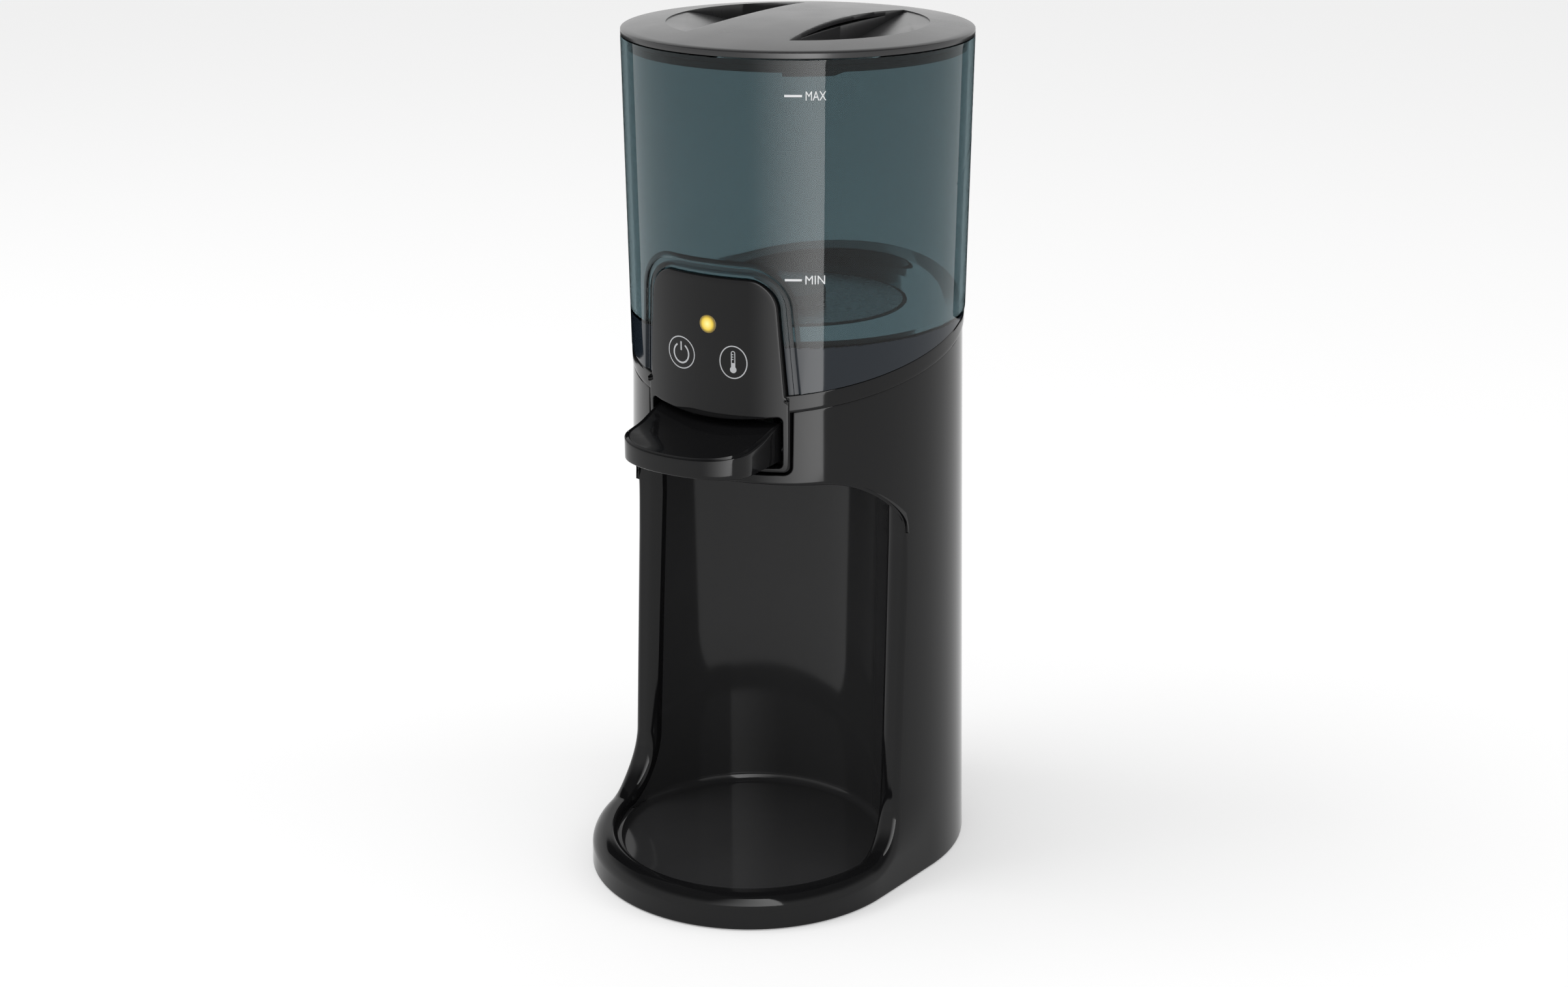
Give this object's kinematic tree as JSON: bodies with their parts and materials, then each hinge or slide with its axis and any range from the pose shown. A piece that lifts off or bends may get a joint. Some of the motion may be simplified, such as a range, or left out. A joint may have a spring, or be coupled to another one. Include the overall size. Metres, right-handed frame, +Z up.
{
  "type": "bottle warmer",
  "caption": "Free-standing bottle warmer: smoked water tank with a turning lid on a black column, touch panel, press lever and spout over a bottle niche.",
  "frame": {"origin": "middle of the footprint, on the surface that the feet stand on", "axes": "+Z up, front towards -Y, +X to the right of someone who faces the front"},
  "size_m": [0.1502, 0.185, 0.366],
  "materials": {
    "gloss_black": "glossy moulded black plastic",
    "tank_smoke": "glossy smoked see-through plastic",
    "lid_grey": "satin grey plastic",
    "seal_rubber": "matt black rubber",
    "steel": "plain steel",
    "black_matte": "fine-grained black plastic",
    "white_plastic": "plain white plastic",
    "hose_silicone": "milky silicone",
    "lamp_yellow": "yellow lamp lens",
    "board_green": "green circuit board",
    "brass": "plain brass",
    "lead_red": "red lead insulation",
    "lead_black": "black lead insulation",
    "lead_blue": "blue lead insulation",
    "ribbon_grey": "grey flat cable"
  },
  "bodies": {
    "housing": {"body_housing": "gloss_black", "niche_liner": "gloss_black", "collar_fascia": "gloss_black", "water_tank": "tank_smoke", "heater_seal": "seal_rubber", "heater_plate": "steel", "heater_element": "steel", "heater_clamp_ring": "steel", "clamp_screw_rear": "steel", "clamp_screw_left": "steel", "clamp_screw_right": "steel", "thermal_cutout": "white_plastic", "temperature_sensor": "brass", "outlet_fitting": "white_plastic", "outlet_nut": "white_plastic", "outlet_strainer": "black_matte", "valve_body": "white_plastic", "valve_cap": "white_plastic", "valve_spring": "steel", "outlet_nozzle": "gloss_black", "outlet_hose": "hose_silicone", "hose_clamp_upper": "steel", "hose_clamp_lower": "steel", "lever_pin": "steel", "tap_bracket": "black_matte", "bracket_screw_left": "steel", "bracket_screw_right": "steel", "touch_board": "board_green", "status_led": "white_plastic", "led_lens": "lamp_yellow", "touch_pads": "seal_rubber", "base_plate": "black_matte", "base_screw_front_right": "steel", "base_screw_rear_right": "steel", "base_screw_rear_left": "steel", "base_screw_front_left": "steel", "foot_front_left": "seal_rubber", "foot_front_right": "seal_rubber", "foot_rear_left": "seal_rubber", "foot_rear_right": "seal_rubber", "power_inlet": "black_matte", "inlet_pin_left": "brass", "inlet_pin_right": "brass", "control_board": "board_green", "board_screw_left": "steel", "board_screw_right": "steel", "board_transformer": "brass", "board_relay": "black_matte", "board_capacitor": "black_matte", "board_connectors": "white_plastic", "heater_leads": "lead_red", "sensor_leads": "lead_black", "mains_leads": "lead_blue", "panel_ribbon": "ribbon_grey"},
    "lid_seal": {"lid_seal": "seal_rubber"},
    "lid": {"lid_cap": "lid_grey", "lid_liner": "lid_grey"},
    "lever": {"dispense_lever": "gloss_black"},
    "plunger": {"valve_plunger": "white_plastic", "plunger_seal": "seal_rubber"}
  },
  "joints": [
    {"name": "lid_lift", "type": "slide", "parent": "housing", "child": "lid_seal", "axis": [0, 0, 1], "range_m": [0, 0.06]},
    {"name": "lid_turn", "type": "hinge", "parent": "lid_seal", "child": "lid", "pos_m": [0, 0.01745, 0.358], "axis": [0, 0, 1], "range_deg": [0, 45]},
    {"name": "lever_press", "type": "hinge", "parent": "housing", "child": "lever", "pos_m": [0, -0.03955, 0.1985], "axis": [1, 0, 0], "range_deg": [0, 8], "stiffness_Nm_per_rad": 0.5, "springref_deg": -11.46},
    {"name": "plunger_lift", "type": "slide", "parent": "housing", "child": "plunger", "axis": [0, 0, 1], "range_m": [0, 0.0025], "deforming": ["valve_spring"]}
  ],
  "couplings": [
    {"joint": "plunger_lift", "follows": "lever_press", "m_per_rad": 0.0178}
  ]
}
